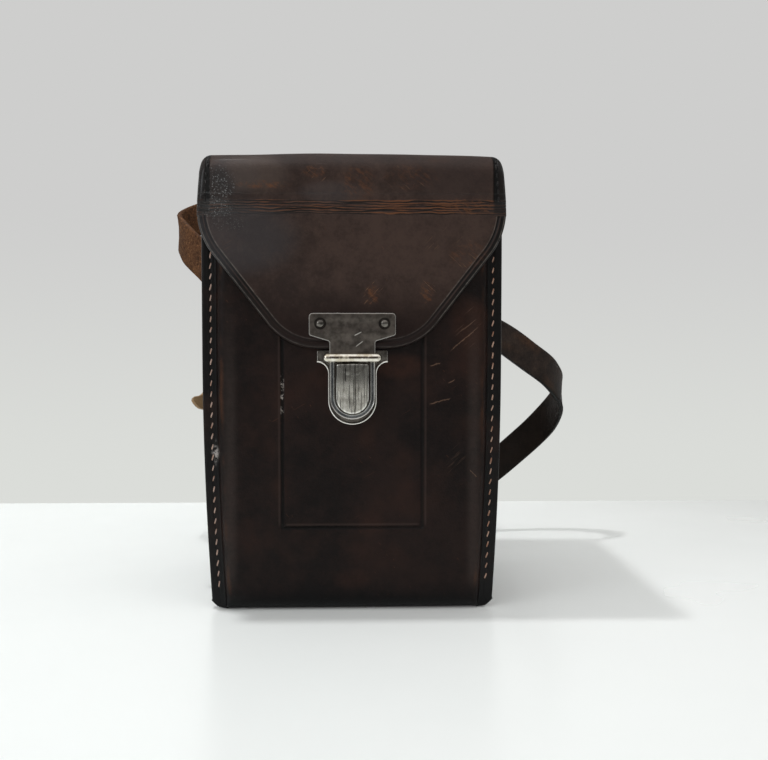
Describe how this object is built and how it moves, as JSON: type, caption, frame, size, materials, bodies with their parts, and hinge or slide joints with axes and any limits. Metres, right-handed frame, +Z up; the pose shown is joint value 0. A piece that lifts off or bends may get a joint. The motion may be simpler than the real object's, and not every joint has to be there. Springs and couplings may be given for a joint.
{
  "type": "leather camera case",
  "caption": "Upright moulded leather carrying case for a twin lens reflex camera, with a hinged lid, a front flap, a nickel spring catch and a carrying strap.",
  "frame": {"origin": "centre of the base panel's underside, where the case stands", "axes": "+Z up, the front with the flap and catch faces -Y, +X is to the right of someone facing the front"},
  "size_m": [0.1934, 0.1718, 0.178],
  "materials": {
    "body_leather": "dark brown moulded hide, worn",
    "lid_leather": "dark brown hide, rubbed lighter at the fold",
    "strap_leather": "dark brown strap hide, rough on the flesh side",
    "lining": "short wine-red lining cloth",
    "board": "stiff fibre board",
    "nickel": "aged nickel plate, scratched",
    "steel": "spring steel",
    "brass": "plain brass"
  },
  "bodies": {
    "case": {"front_panel": "body_leather", "back_panel": "body_leather", "base_panel": "body_leather", "side_gusset_left": "body_leather", "side_gusset_right": "body_leather", "front_lining": "lining", "back_lining": "lining", "side_lining_left": "lining", "side_lining_right": "lining", "base_board": "board", "base_lining": "lining", "catch_plate": "nickel", "catch_stud": "nickel", "catch_rivets": "nickel", "catch_washers": "brass", "strap_patch_left": "body_leather", "strap_patch_right": "body_leather", "strap": "strap_leather", "strap_rivets": "nickel", "strap_washers": "brass"},
    "lid": {"lid_top": "lid_leather", "lid_skirt_left": "lid_leather", "lid_skirt_right": "lid_leather", "lid_lining": "lining"},
    "flap": {"flap_leaf": "lid_leather", "hasp_plate": "nickel", "hasp_frame": "nickel", "hasp_cover": "steel", "hasp_rivets": "nickel", "hasp_washers": "brass", "latch_spring": "steel", "button_spring": "steel"},
    "button": {"press_button": "nickel"}
  },
  "joints": [
    {"name": "lid_hinge", "type": "hinge", "parent": "case", "child": "lid", "pos_m": [0, 0.053, 0.165], "axis": [-1, 0, 0], "range_deg": [0, 110], "deforming": ["latch_spring"]},
    {"name": "flap_fold", "type": "hinge", "parent": "lid", "child": "flap", "pos_m": [0, -0.0559, 0.153], "axis": [-1, 0, 0], "range_deg": [0, 100]},
    {"name": "button_press", "type": "slide", "parent": "flap", "child": "button", "axis": [0, 1, 0], "range_m": [0, 0.001], "stiffness_N_per_m": 600, "deforming": ["button_spring"]}
  ]
}
